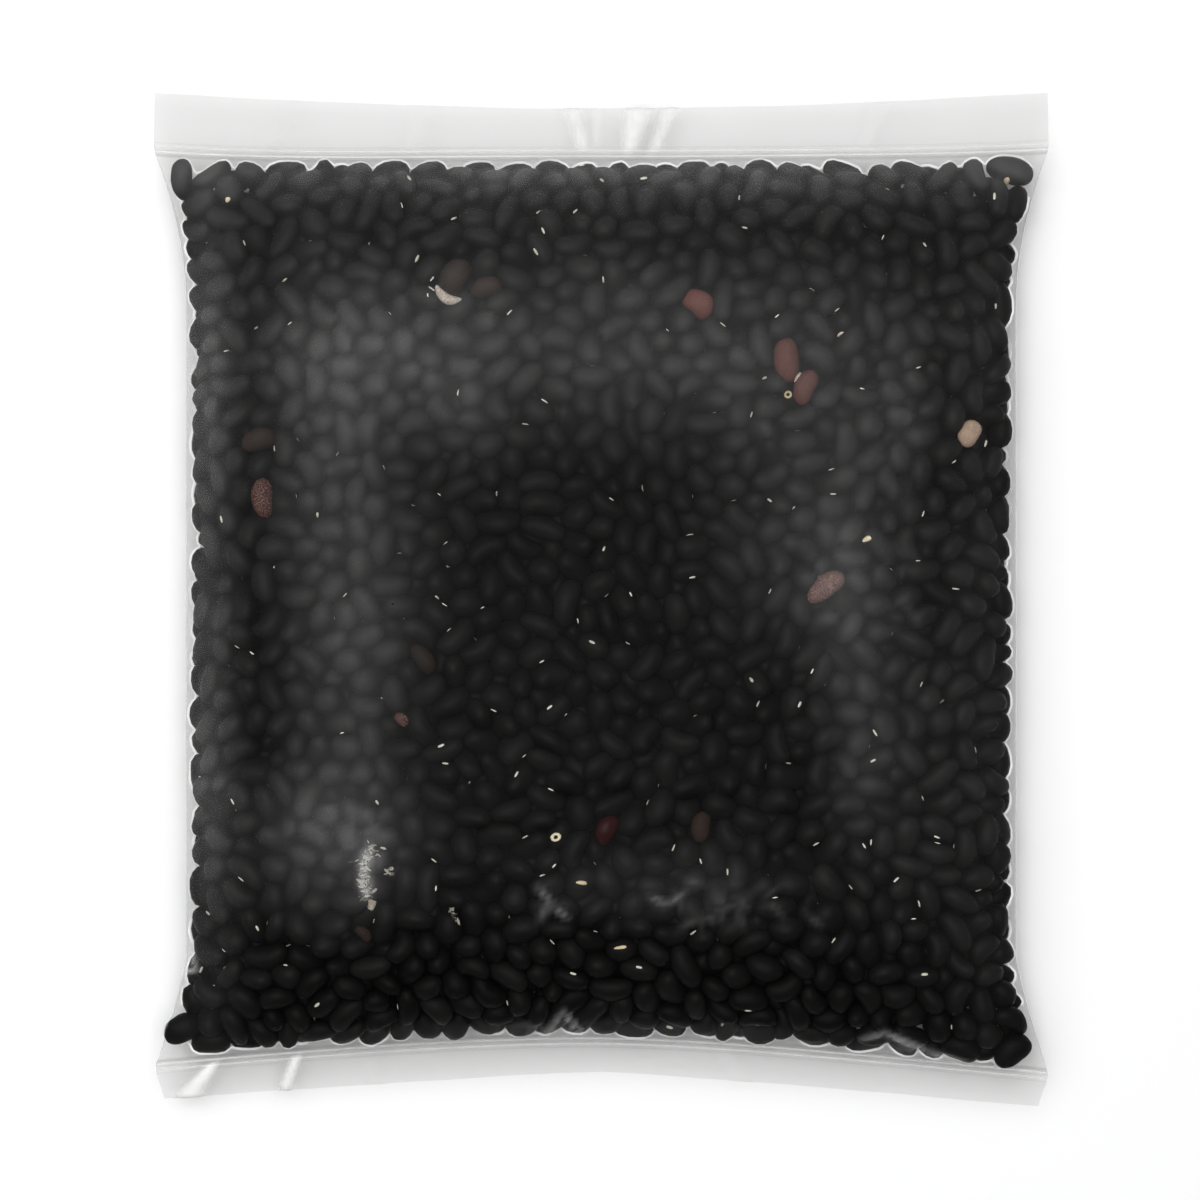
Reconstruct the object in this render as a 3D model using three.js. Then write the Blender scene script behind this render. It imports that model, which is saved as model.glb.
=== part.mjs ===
// A clear film bag filled with dried black beans and sealed across both ends, lying on its back.
// Millimetres, +Z up. X runs across the bag and +Y runs towards its head seal.
// The origin is in the middle of the footprint, on the surface that the bag lies on.
// The solid is the space inside the film and the two flat strips of film outside the seals.

import * as THREE from "three";
import { mergeVertices } from "three/addons/utils/BufferGeometryUtils.js";

// Across the bag
const SEAL_WIDTH = 230; // where the film is pressed flat
const BODY_WIDTH = 213; // where the beans round it out
const FOOT_EDGE_WIDTH = 225; // the cut edge below the foot seal

// Thickness
const BODY_HEIGHT = 36;
const SIDE_HEIGHT = 15; // the widest line of the sides, above the table
const SEAL_HEIGHT = 12; // the seals, lifted off the table by the filling
const SIDE_WALL = 3; // upright part of the sides
const FIN_THICKNESS = 1.2; // the pressed films and the air between them

// Each end: its seal line and its cut edge, as distances from the middle of the bag.
// sag is how far the corners lie beyond the middle, skew adds to it on the +X side, and
// power sets how suddenly they turn out. The flare is where the sides widen to the seal.
const HEAD = {
  side: 1,
  seal: { middle: 113.8, sag: 2, skew: 0, power: 4 },
  edge: { middle: 126.7, sag: 4.1, skew: 0, power: 1.8 },
  edgeWidth: SEAL_WIDTH,
  flareStart: 75,
  flarePower: 2,
  fullness: 4,
};
const FOOT = {
  side: -1,
  seal: { middle: 112.8, sag: 7.6, skew: 1.4, power: 1.6 },
  edge: { middle: 121.3, sag: 8.2, skew: 1, power: 1.15 },
  edgeWidth: FOOT_EDGE_WIDTH,
  flareStart: 92,
  flarePower: 1.2,
  fullness: 6,
};

// The pillow's rounding
const SHOULDER_POWER = 3; // across the top
const SIDE_ROLL_START = 0.82; // share of the half width that lies flat on the table
const END_ROLL_START = 0.74; // share of the half length that lies flat on the table

// Unevenness
const LUMP_HEIGHT = 0.8; // beans pressing up under the film
const LUMP_PATTERNS = [
  { length: 21, heading: 0.35 },
  { length: 17, heading: 1.05 },
];
const GATHER_HEIGHT = 0.7; // film gathered where it leaves a seal
const GATHER_LENGTH = 21;
const GATHER_REACH = 11;
const STRIP_DROOP = 3; // fall of the strips towards their cut edges
const STRIP_WAVE = 1.1;
const STRIP_WAVE_LENGTHS = [76, 33];

// Mesh steps
const COLUMNS = 40;
const BODY_ROWS = 44;
const STRIP_ROWS = 3;
const WALL_STEPS = 2;
const ROWS = BODY_ROWS + 2 * STRIP_ROWS;
const EDGE_CROWDING = 0.65; // 0 spaces the columns evenly, 1 crowds them at the sides

const BEAN_BLACK = 0x262524;

function mix(from, to, share) {
  return from + (to - from) * share;
}

// Spaces points from -1 to 1 closer together near both ends.
function crowd(position) {
  const quarter = (EDGE_CROWDING * Math.PI) / 2;
  return Math.sin(position * quarter) / Math.sin(quarter);
}

// Distance of a seal line or a cut edge from the middle of the bag, at a place across it.
function lineAt(line, x) {
  const across = x / (SEAL_WIDTH / 2);
  return line.middle + line.sag * Math.abs(across) ** line.power + line.skew * across;
}

function bodyHalfWidth(y) {
  const end = y > 0 ? HEAD : FOOT;
  const cornerY = lineAt(end.seal, SEAL_WIDTH / 2);
  const share = (Math.abs(y) - end.flareStart) / (cornerY - end.flareStart);
  const flare = THREE.MathUtils.clamp(share, 0, 1) ** end.flarePower;
  return mix(BODY_WIDTH, SEAL_WIDTH, flare) / 2;
}

// Quarter round from 1, where the bag lies on the table, to 0 at its rim.
function rollUnder(position, start) {
  const share = Math.max(0, (Math.abs(position) - start) / (1 - start));
  return Math.sqrt(Math.max(0, 1 - share * share));
}

// Low rounded lumps from -1 to 1, where crossed waves of the patterns meet.
function lumpsAt(x, y) {
  let sum = 0;
  for (const { length, heading } of LUMP_PATTERNS) {
    const turn = (2 * Math.PI) / length;
    const along = x * Math.cos(heading) + y * Math.sin(heading);
    const aside = y * Math.cos(heading) - x * Math.sin(heading);
    sum += Math.sin(turn * along) * Math.sin(turn * aside);
  }
  return sum / LUMP_PATTERNS.length;
}

// Ripples from -1 to 1 along a strip.
function rippleAt(x) {
  const [long, short] = STRIP_WAVE_LENGTHS;
  return (Math.sin((2 * Math.PI * x) / long) + Math.sin((2 * Math.PI * x) / short + 2)) / 2;
}

// A point of the filled body. across, along and up run from -1 to 1.
function bodyPoint(across, along, up) {
  const end = along > 0 ? HEAD : FOOT;
  const share = (along + 1) / 2;
  const flatX = (across * SEAL_WIDTH) / 2;
  const nearY = mix(-lineAt(FOOT.seal, flatX), lineAt(HEAD.seal, flatX), share);
  const x = across * bodyHalfWidth(nearY);
  const y = mix(-lineAt(FOOT.seal, x), lineAt(HEAD.seal, x), share);

  const toSeal = Math.abs(along) ** end.fullness;
  const rim = mix(SIDE_HEIGHT, SEAL_HEIGHT, toSeal);
  const halfWall = mix(SIDE_WALL, FIN_THICKNESS, toSeal) / 2;
  const shoulder = Math.sqrt(1 - Math.abs(across) ** SHOULDER_POWER);
  const dome = shoulder * (1 - toSeal) ** (2 / 3);
  const flat = rollUnder(across, SIDE_ROLL_START) * rollUnder(along, END_ROLL_START);

  const sealDistance = (1 - Math.abs(along)) * end.seal.middle;
  const lumps = LUMP_HEIGHT * lumpsAt(x, y) * dome;
  const gathers = GATHER_HEIGHT * Math.sin((2 * Math.PI * x) / GATHER_LENGTH);
  const gathered = gathers * Math.exp(-sealDistance / GATHER_REACH) * dome;
  const rise = BODY_HEIGHT - LUMP_HEIGHT - rim - halfWall;
  const top = rim + halfWall + rise * dome + lumps + gathered;
  const bottom = (rim - halfWall) * (1 - flat);
  return new THREE.Vector3(x, y, mix(bottom, top, (up + 1) / 2));
}

// A point of the strip outside a seal. outward runs from 0 at the seal to 1 at the cut edge.
function stripPoint(end, across, outward, up) {
  const x = (across * mix(SEAL_WIDTH, end.edgeWidth, outward)) / 2;
  const reach = mix(lineAt(end.seal, x), lineAt(end.edge, x), outward);
  const ripple = STRIP_WAVE * rippleAt(x) * outward;
  const middle = SEAL_HEIGHT - STRIP_DROOP * outward ** 1.5 + ripple;
  return new THREE.Vector3(x, end.side * reach, middle + (up * FIN_THICKNESS) / 2);
}

// Moves one point of the 2 mm block onto the bag.
function bagPoint(block) {
  const across = crowd(block.x);
  const row = Math.round(((block.y + 1) / 2) * ROWS);
  if (row < STRIP_ROWS) {
    return stripPoint(FOOT, across, 1 - row / STRIP_ROWS, block.z);
  }
  if (row > ROWS - STRIP_ROWS) {
    return stripPoint(HEAD, across, 1 - (ROWS - row) / STRIP_ROWS, block.z);
  }
  const along = crowd(((row - STRIP_ROWS) / BODY_ROWS) * 2 - 1);
  return bodyPoint(across, along, block.z);
}

function makeBag() {
  const geometry = new THREE.BoxGeometry(2, 2, 2, COLUMNS, ROWS, WALL_STEPS);
  const position = geometry.attributes.position;
  const block = new THREE.Vector3();
  for (let index = 0; index < position.count; index++) {
    block.fromBufferAttribute(position, index);
    const placed = bagPoint(block);
    position.setXYZ(index, placed.x, placed.y, placed.z);
  }
  geometry.deleteAttribute("normal");
  geometry.deleteAttribute("uv");

  // The origin goes under the middle of the footprint.
  geometry.computeBoundingBox();
  const middle = geometry.boundingBox.getCenter(new THREE.Vector3());
  geometry.translate(-middle.x, -middle.y, 0);

  const closed = mergeVertices(geometry);
  closed.computeVertexNormals();
  return closed;
}

const beans = new THREE.MeshStandardMaterial({ color: BEAN_BLACK, roughness: 0.5, metalness: 0 });
const bag = new THREE.Mesh(makeBag(), beans);
bag.name = "filled_bag";

const group = new THREE.Group();
group.add(bag);

export default group;
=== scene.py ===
"""A clear film bag of dried black beans, lying on its back. Metres, +Z up, +Y to the head seal."""
import math

import bpy
import numpy as np
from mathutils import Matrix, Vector
from mathutils.bvhtree import BVHTree


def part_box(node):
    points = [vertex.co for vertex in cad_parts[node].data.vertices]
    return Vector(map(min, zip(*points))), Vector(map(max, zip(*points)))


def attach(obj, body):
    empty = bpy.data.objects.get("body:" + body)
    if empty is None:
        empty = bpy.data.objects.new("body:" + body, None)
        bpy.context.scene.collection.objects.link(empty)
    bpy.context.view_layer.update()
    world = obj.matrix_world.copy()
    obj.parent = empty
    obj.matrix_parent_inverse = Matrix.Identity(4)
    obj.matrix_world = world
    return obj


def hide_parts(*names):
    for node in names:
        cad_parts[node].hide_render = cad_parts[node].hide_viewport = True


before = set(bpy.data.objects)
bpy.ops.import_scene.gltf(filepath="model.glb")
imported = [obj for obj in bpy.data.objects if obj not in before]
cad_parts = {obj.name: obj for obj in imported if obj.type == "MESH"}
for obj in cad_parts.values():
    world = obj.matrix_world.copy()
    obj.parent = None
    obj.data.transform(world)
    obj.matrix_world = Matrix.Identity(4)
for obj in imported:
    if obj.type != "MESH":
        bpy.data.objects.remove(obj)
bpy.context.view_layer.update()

bag_low, bag_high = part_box("filled_bag")
MM = 0.001

# ---------------------------------------------------------------- sizes of the bag
SEAL_WIDTH = bag_high[0] - bag_low[0]
BODY_WIDTH = SEAL_WIDTH - 17 * MM
FOOT_EDGE_WIDTH = SEAL_WIDTH - 5 * MM
BODY_HEIGHT = bag_high[2] - 0.6 * MM
SIDE_HEIGHT = 15 * MM
SEAL_HEIGHT = 12 * MM
SIDE_WALL = 3 * MM
FIN_GAP = 0.5 * MM
NECK_HEIGHT = 6 * MM  # the last row of beans holds the film this far open beside a seal
NECK_SLOPE = 3
EDGE_CREASE = 0.8 * MM  # film pressed together along the sides, beyond the beans
MIDDLE_Y = (bag_high[1] + bag_low[1]) / 2 - 0.13 * MM

HEAD = {
    "side": 1,
    "seal": {"middle": 113.8 * MM, "sag": 2 * MM, "skew": 0, "power": 4},
    "edge": {"middle": 126.7 * MM, "sag": 4.1 * MM, "skew": 0, "power": 1.8},
    "edge_width": SEAL_WIDTH,
    "flare_start": 75 * MM,
    "flare_power": 2,
    "fullness": 4,
}
FOOT = {
    "side": -1,
    "seal": {"middle": 112.8 * MM, "sag": 7.6 * MM, "skew": 1.4 * MM, "power": 1.6},
    "edge": {"middle": 121.3 * MM, "sag": 8.2 * MM, "skew": 1 * MM, "power": 1.15},
    "edge_width": FOOT_EDGE_WIDTH,
    "flare_start": 92 * MM,
    "flare_power": 1.2,
    "fullness": 6,
}
SHOULDER_POWER = 3
SIDE_ROLL_START = 0.82
END_ROLL_START = 0.74
STRIP_DROOP = 3 * MM
STRIP_WAVE = 1.1 * MM
STRIP_WAVE_LENGTHS = (76 * MM, 33 * MM)
EDGE_CROWDING = 0.65
ROW_CROWDING = 1.6  # how much closer the strips' rows lie at the seals

# ---------------------------------------------------------------- sizes of the filling
BEAN_SEED = 41
LAYER_DEPTH = 13 * MM  # beans are laid this far in from the film, over a dark core
SKIN = 0.35 * MM  # room between the bag's form and the beans' mean shape, for their dents
CORE_DEPTH = 9.5 * MM
CORE_REACH = 0.84  # share of the body's width and length
CORE_RELIEF = 1.2 * MM
PACKING_SHARE = 0.70  # share of the layer's space that beans fill
BEAN_LENGTH, BEAN_WIDTH, BEAN_THICKNESS = 9.8 * MM, 7.0 * MM, 6.0 * MM
BEAN_SPREAD = 0.10
EYE_LENGTH, EYE_HEIGHT, EYE_THICKNESS = 1.8 * MM, 0.7 * MM, 0.5 * MM
EYE_SHARE = 0.34

DENT_DEPTH = 0.9 * MM
DENTS_PER_METRE = 150
TABLE_GAP = 0.15 * MM  # lowest bean above the table, inside the film

# Shapes of bean: share of all, size against the mean, bend of the spine, dent at the eye, and
# how much fatter one end is.
BEAN_KINDS = {
    "plump": {"share": 0.40, "size": (1.00, 1.02, 1.02), "bend": 0.05, "dent": 0.06, "taper": 0.05},
    "long": {"share": 0.22, "size": (1.16, 0.93, 0.93), "bend": 0.09, "dent": 0.08, "taper": 0.04},
    "kidney": {"share": 0.18, "size": (1.05, 1.00, 0.98), "bend": 0.14, "dent": 0.16, "taper": 0.07},
    "squat": {"share": 0.20, "size": (0.84, 1.04, 1.06), "bend": 0.03, "dent": 0.04, "taper": 0.12},
}

# ---------------------------------------------------------------- what lies where it is seen
# Millimetres from the middle of the bag, and degrees. Beans right under the film: finish, across,
# along, heading, length, width, tone from 0 to 1, and how deep the bean is sunk.
SEEN_BEANS = [
    ("dull_brown", -37.2, 81.5, 60, 11.0, 7.6, 0.5, 0.3),
    ("dull_brown", -29.2, 79.2, 15, 8.2, 5.6, 1.0, 1.0),
    ("brown", 24.6, 75.1, -35, 8.6, 7.2, 0.85, 0.2),
    ("brown", 47.2, 60.8, 97, 11.2, 7.0, 0.6, 0.2),
    ("brown", 51.8, 53.9, 68, 9.2, 5.8, 0.55, 0.6),
    ("veined_brown", -85.9, 25.9, 96, 10.2, 5.8, -0.12, 0.2),
    ("dull_brown", -87.2, 40.6, 20, 9.0, 6.2, 0.7, 1.0),
    ("veined_brown", 56.9, 3.2, 38, 11.2, 6.0, 0.15, 0.1),
    ("dull_brown", 25.4, -57.4, 80, 8.0, 5.2, 0.8, 1.0),
    ("dull_brown", -45.1, -14.9, -52, 8.6, 5.0, 0.2, 1.0),
    ("veined_brown", -50.5, -30.3, -40, 4.2, 3.0, -0.15, 0.0),
    ("brown", -60.3, -84.6, -40, 5.2, 3.2, -0.1, 0.6),
    ("deep_red", 1.5, -58.2, 64, 8.0, 5.4, 0.5, 0.4),
    ("pale", 93.8, 42.3, 62, 7.2, 5.8, 0.5, 0.2),
    ("ear_black", -107.4, 107.9, 95, 10.8, 6.0, 0.3, 0),
    ("ear_black", 105.0, 110.2, -14, 12.4, 8.2, 0.4, 0),
    ("ear_black", -107.2, -110.2, 25, 10.6, 7.8, 0.3, 0),
    ("ear_black", 105.6, -115.9, 38, 10.6, 7.6, 0.2, 0),
    ("ear_black", 92.0, -115.0, -18, 10.6, 7.0, 0.1, 0),
]

# Bits lying on the beans: across, along, heading, length, width and thickness.
RING_EYES = [(47.4, 52.1, 0, 2.2, 2.1, 0.8), (-11.5, -60.0, 20, 2.9, 2.3, 0.9)]
BIG_EYES = [
    (104.1, 107.4, 76, 3.4, 1.5, 0.9),
    (-5.0, -71.5, -8, 2.9, 1.1, 0.8),
    (4.8, -88.0, 10, 3.3, 0.9, 0.7),
    (67.2, 15.4, 20, 2.6, 1.4, 0.8),
    (-95.5, 102.3, 60, 1.6, 1.2, 0.7),
]
CREAM_CHIPS = [
    (49.7, 56.4, 52, 3.0, 1.1, 0.8),
    (41.3, 56.2, 10, 1.3, 0.7, 0.5),
    (60.8, 67.4, 30, 2.2, 1.4, 0.7),
    (-53.6, -68.2, -20, 2.2, 1.2, 0.6),
    (-42.9, 81.4, 60, 1.5, 0.5, 0.5),
    (-43.0, 78.9, 98, 2.6, 0.5, 0.5),
    (-43.9, 77.2, 100, 1.0, 0.4, 0.4),
]
CREAM_CRESCENT = [(-38.7, 77.0, 153, 8.2, 2.7, 2.6)]
CREAM_SHARD = [(-58.2, -76.7, 82, 4.2, 2.7, 1.6)]

RAISED_BITS = {"cream_crescent": 2.2 * MM, "cream_shard": 1.6 * MM}  # height above the beans

# Flakes caught under the film: start and stop of a run, its spread, and how many.
FLAKE_PATCHES = [
    ((-58.6, -62.5), (-60.4, -69.0), 0.7, 75),
    ((-60.4, -69.0), (-59.2, -74.5), 0.8, 85),
    ((-57.0, -61.5), (-61.5, -66.0), 1.4, 14),
    ((-55.0, -68.6), (-52.8, -69.4), 0.3, 12),
    ((-38.0, -78.4), (-36.2, -81.8), 0.3, 15),
]

# ---------------------------------------------------------------- the coats
BLACK_COAT = ((0.0012, 0.0012, 0.0011), (0.0062, 0.0061, 0.0058), 0.5)  # dark, light, roughness
COAT_SHEEN = 0.05
MOTTLES_PER_METRE = 420
GRAINS_PER_METRE = 1500
SWIRLS_PER_METRE = 320
VEIN_TURNS = 75  # how closely the wavy veins lie
WRINKLE_HEIGHT = 0.15 * MM

# ---------------------------------------------------------------- the film's finish
CLEAR_TINT = (0.923, 0.923, 0.922)
SEAL_GREY = (0.5, 0.5, 0.505)
# Pale colour of the film's faint haze, and of its painted reflections and highlights.
HAZE_AND_SHEEN_COLOUR = (0.86, 0.86, 0.855)
GLOSS_ROUGHNESS = 0.36
GLANCE_POWER, GLANCE_SLANTED, GLANCE_FACING = 6.0, 0.9, 0.0015  # how much the film shines
LARGE_CLOUDS_PER_METRE, SMALL_CLOUDS_PER_METRE = 55, 260
SEAL_WANDER = 2.6 * MM
FILM_CLEARANCE = 0.28 * MM
FILM_PULL = 0.012 * MM  # how much the film is drawn in at each step
FILM_STEPS = 400
RAY_LIFT = 3.5 * MM  # the search for beans starts this far outside the bag's form
DEEPEST_GAP = 4 * MM
FOLD_ROWS, FOLD_PASSES = 6, 14  # rows softened on each side of a seal, and how often
CLING_REACH = 0.9 * MM
CLEAR_VEIL = 0.001
# Lines along each seal, in millimetres: distance outward, half width and strength.
SEAL_GREY_LINES = [(-0.8, 0.6, 0.35), (0.6, 0.3, 0.15), (2.4, 0.25, 0.10)]
SEAL_WHITE_LINES = [(0.0, 0.35, 0.9), (1.5, 0.3, 0.6)]

# Bright edge where the film is stretched round the outermost beans, painted white as a highlight.
EDGE_STEP = 0.4 * MM
EDGE_WIDTH = 0.5 * MM
EDGE_GAP = 0.05 * MM
EDGE_PASSES, EDGE_SAG = 5, 0.12 * MM  # the line is drawn tight, but for this sag between beans
EDGE_LEVELS = np.arange(8, 20, 1.5) * MM
EDGE_RUNS = [  # side, start, stop, and whether it is one of the ends
    (1, -109 * MM, 111 * MM, True),
    (-1, -108 * MM, 108 * MM, True),
    (1, -104 * MM, 104 * MM, False),
    (-1, -104 * MM, 104 * MM, False),
]

# Painted reflection: milky patches that stand in for the lights' soft sheen on the film, in millimetres:
# middle across and along, reach each way, and strength.
PAINTED_SHEEN_PATCHES = [
    (0, 104, 140, 12, 0.024),
    (0, 111, 150, 6, 0.072),
    (10, 79, 90, 14, 0.016),
    (-58, 62, 24, 18, 0.043),
    (-74, 38, 12, 46, 0.026),
    (-35, 58, 9, 18, 0.030),
    (-63, 45, 9, 10, 0.016),
    (15, 62, 62, 18, 0.036),
    (-61, 5, 14, 36, 0.036),
    (-68, -60, 17, 16, 0.052),
    (-66, -33, 12, 22, 0.020),
    (62, 5, 11, 24, 0.044),
    (46, 14, 15, 20, 0.022),
    (52, 45, 22, 18, 0.020),
    (70, 34, 18, 22, 0.009),
    (77, 46, 6, 16, 0.024),
    (80, -34, 14, 46, 0.013),
    (66, -38, 9, 22, 0.022),
    (-100, 0, 8, 100, 0.024),
    (-102, -48, 7, 30, 0.056),
    (-102, 62, 7, 36, 0.058),
    (-103, 8, 7, 40, 0.020),
    (98, 0, 9, 100, 0.014),
    (18, -72, 30, 8, 0.014),
    (-60, -66, 4, 8, 0.025),
]

# Creases, in millimetres: start, stop, height, half width and milkiness, which is a painted highlight
# along the ridge.
CREASES = [
    ((-16, -72.5), (-12, -77.5), 0.7, 0.8, 0.10),
    ((-12, -77.5), (-8.5, -80.5), 0.6, 0.8, 0.10),
    ((-13, -76), (-15.5, -81), 0.5, 1.1, 0.06),
    ((12, -75), (17, -77), 0.6, 0.8, 0.08),
    ((17, -77), (21, -74), 0.6, 0.8, 0.08),
    ((-15.2, -111.8), (-9.6, -104.6), 1.6, 0.6, 0.22),
    ((-9.8, -104.6), (-4.1, -111.8), 1.6, 0.6, 0.30),
    ((-9.8, -107.5), (-9.8, -111.5), 1.2, 2.2, 0.08),
    ((66.4, -112.0), (73, -110.2), 1.2, 0.6, 0.16),
    ((72, -110.2), (84, -115.4), 1.2, 0.6, 0.30),
    ((82, -114.8), (96, -119.6), 1.0, 0.6, 0.22),
    ((74, -112.6), (84, -116.6), 0.6, 1.6, 0.05),
    ((-58.8, -62.5), (-60.3, -69.4), 0.3, 1.4, 0.20),
    ((-60.3, -68.6), (-59.2, -75.0), 0.3, 1.4, 0.20),
    ((-105.9, -87.2), (-103.3, -94.8), 0.5, 0.6, 0.30),
    ((-103.3, -94.6), (-107.3, -95.4), 0.5, 0.6, 0.30),
]
# Creases across the strips, in millimetres: end, place at the seal and at the cut edge, half
# width at each, height and milkiness, which is a painted highlight along the ridge.
STRIP_CREASES = [
    (HEAD, -4.0, -7.4, 1.3, 2.6, 0.25, 0.42),
    (HEAD, -1.6, -1.0, 1.0, 1.4, 0.15, 0.22),
    (HEAD, 6.9, 9.6, 1.4, 3.8, 0.45, 0.65),
    (HEAD, 12.8, 18.0, 1.2, 2.2, 0.35, 0.5),
    (HEAD, -50.0, -46.0, 1.4, 3.0, 0.15, 0.12),
    (HEAD, 66.0, 72.0, 1.4, 3.0, 0.15, 0.12),
    (HEAD, -88.0, -80.0, 2.0, 5.0, 0.15, 0.08),
    (FOOT, -77.8, -81.2, 1.1, 1.4, 0.5, 0.9),
    (FOOT, -98.5, -106.0, 1.0, 3.2, 0.6, 0.9),
    (FOOT, -60.0, -58.0, 1.2, 2.0, 0.2, 0.08),
    (FOOT, 30.0, 36.0, 1.4, 3.0, 0.2, 0.10),
]
# Crumpled places: middle, reach, how many creases, their height and milkiness, which is a painted
# highlight along each crease.
CRUMPLES = [
    ((34, -77), (24, 8), 22, 0.45, 0.035),
    ((-58, -62), (7, 8), 14, 0.4, 0.025),
    ((-64, 60), (20, 18), 14, 0.3, 0.02),
    ((76, 20), (8, 40), 16, 0.3, 0.02),
]

# ---------------------------------------------------------------- the studio, in metres
FLOOR_SIDE = 6
LIT_FLOOR = 0.3  # the floor is evenly lit this far out
PANEL_HEIGHT = 1.3  # mean height of the panels, which sets how fast their light falls off
VIEW_WIDTH, VIEW_DISTANCE = 0.3077, 1.3


# ---------------------------------------------------------------- form of the bag
def mix(start, stop, share):
    return start + (stop - start) * share


def unit(vectors):
    """Vectors made 1 long."""
    return vectors / np.maximum(np.linalg.norm(vectors, axis=-1, keepdims=True), 1e-12)


def crowd(position):
    """Spaces points from -1 to 1 closer together near both ends."""
    quarter = EDGE_CROWDING * math.pi / 2
    return np.sin(position * quarter) / math.sin(quarter)


def line_at(line, x):
    """Distance of a seal line or a cut edge from the middle of the bag."""
    across = x / (SEAL_WIDTH / 2)
    return line["middle"] + line["sag"] * np.abs(across) ** line["power"] + line["skew"] * across


def body_half_width(y):
    half = np.zeros_like(y)
    for end, here in ((HEAD, y > 0), (FOOT, y <= 0)):
        corner = line_at(end["seal"], SEAL_WIDTH / 2)
        share = (np.abs(y) - end["flare_start"]) / (corner - end["flare_start"])
        flare = np.clip(share, 0, 1) ** end["flare_power"]
        half = np.where(here, mix(BODY_WIDTH, SEAL_WIDTH, flare) / 2, half)
    return half


def roll_under(position, start):
    """Quarter round from 1, where the bag lies on the table, to 0 at its rim."""
    share = np.clip((np.abs(position) - start) / (1 - start), 0, 1)
    return np.sqrt(1 - share**2)


def seal_share(along):
    """0 over the filled body, rising to 1 at each seal."""
    return np.abs(along) ** np.where(along > 0, HEAD["fullness"], FOOT["fullness"])


def body_form(across, along):
    """Plan position, underside and top of the filled body. across and along run from -1 to 1."""
    share = (along + 1) / 2
    flat_x = across * SEAL_WIDTH / 2
    near_y = mix(-line_at(FOOT["seal"], flat_x), line_at(HEAD["seal"], flat_x), share)
    to_seal = seal_share(along)
    x = across * (body_half_width(near_y) - EDGE_CREASE * (1 - to_seal))
    y = mix(-line_at(FOOT["seal"], x), line_at(HEAD["seal"], x), share)
    rim = mix(SIDE_HEIGHT, SEAL_HEIGHT, to_seal)
    half_wall = mix(SIDE_WALL, FIN_GAP, to_seal) / 2
    dome = np.sqrt(1 - np.abs(across) ** SHOULDER_POWER) * (1 - to_seal) ** (2 / 3)
    flat = roll_under(across, SIDE_ROLL_START) * roll_under(along, END_ROLL_START)
    top = rim + half_wall + (BODY_HEIGHT - rim - half_wall) * dome
    bottom = (rim - half_wall) * (1 - flat)
    seal_reach = np.where(along > 0, HEAD["seal"]["middle"], FOOT["seal"]["middle"])
    last_bean = np.clip((1 - np.abs(along)) * seal_reach * NECK_SLOPE, FIN_GAP, NECK_HEIGHT) / 2
    top = np.maximum(top, rim + last_bean)
    bottom = np.minimum(bottom, rim - last_bean)
    return x, y + MIDDLE_Y, bottom, top


def ripple_at(x):
    long, short = STRIP_WAVE_LENGTHS
    return (np.sin(2 * math.pi * x / long) + np.sin(2 * math.pi * x / short + 2)) / 2


def strip_form(end, across, outward):
    """Plan position and height of the strip outside a seal. outward is 1 at the cut edge."""
    x = across * mix(SEAL_WIDTH, end["edge_width"], outward) / 2
    reach = mix(line_at(end["seal"], x), line_at(end["edge"], x), outward)
    ripple = STRIP_WAVE * ripple_at(x) * outward
    middle = SEAL_HEIGHT - STRIP_DROOP * outward**1.5 + ripple
    return x, end["side"] * reach + MIDDLE_Y, middle


def film_loops(columns, body_rows, strip_rows, wall_steps, crease):
    """Closed loops of film round the bag, one for each row from the foot to the head.

    Returns points[row, place, xyz], for each row its distance outward on a strip, which is 0 on
    the body, and for each place 1 on top, -1 underneath and between on a side. A loop runs along
    the top, down the +X side, back underneath and up again."""
    across = crowd(np.linspace(-1, 1, columns + 1))
    fall = np.linspace(1, -1, wall_steps + 2)[1:-1]
    side = np.ones(wall_steps)
    loop_across = np.concatenate([across, side, across[::-1], -side])
    loop_up = np.concatenate([across * 0 + 1, fall, across * 0 - 1, fall[::-1]])
    pinch = (1 - np.abs(loop_up)) ** 0.8 * np.sign(loop_across)

    rows, outwards = [], []
    for step in range(strip_rows, 0, -1):
        outwards.append((step / strip_rows) ** ROW_CROWDING)
        rows.append(strip_row(FOOT, loop_across, loop_up, outwards[-1]))
    for along in crowd(np.linspace(-1, 1, body_rows + 1)):
        x, y, bottom, top = body_form(loop_across, np.full_like(loop_across, along))
        z = mix(bottom, top, (loop_up + 1) / 2)
        x = x + pinch * crease * (1 - seal_share(along))
        rows.append(np.stack([x, y, z], axis=1))
        outwards.append(0)
    for step in range(1, strip_rows + 1):
        outwards.append((step / strip_rows) ** ROW_CROWDING)
        rows.append(strip_row(HEAD, loop_across, loop_up, outwards[-1]))
    return np.array(rows), np.array(outwards), loop_up


def strip_row(end, loop_across, loop_up, outward):
    x, y, middle = strip_form(end, loop_across, outward)
    return np.stack([x, y, middle + loop_up * FIN_GAP / 2], axis=1)


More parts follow.
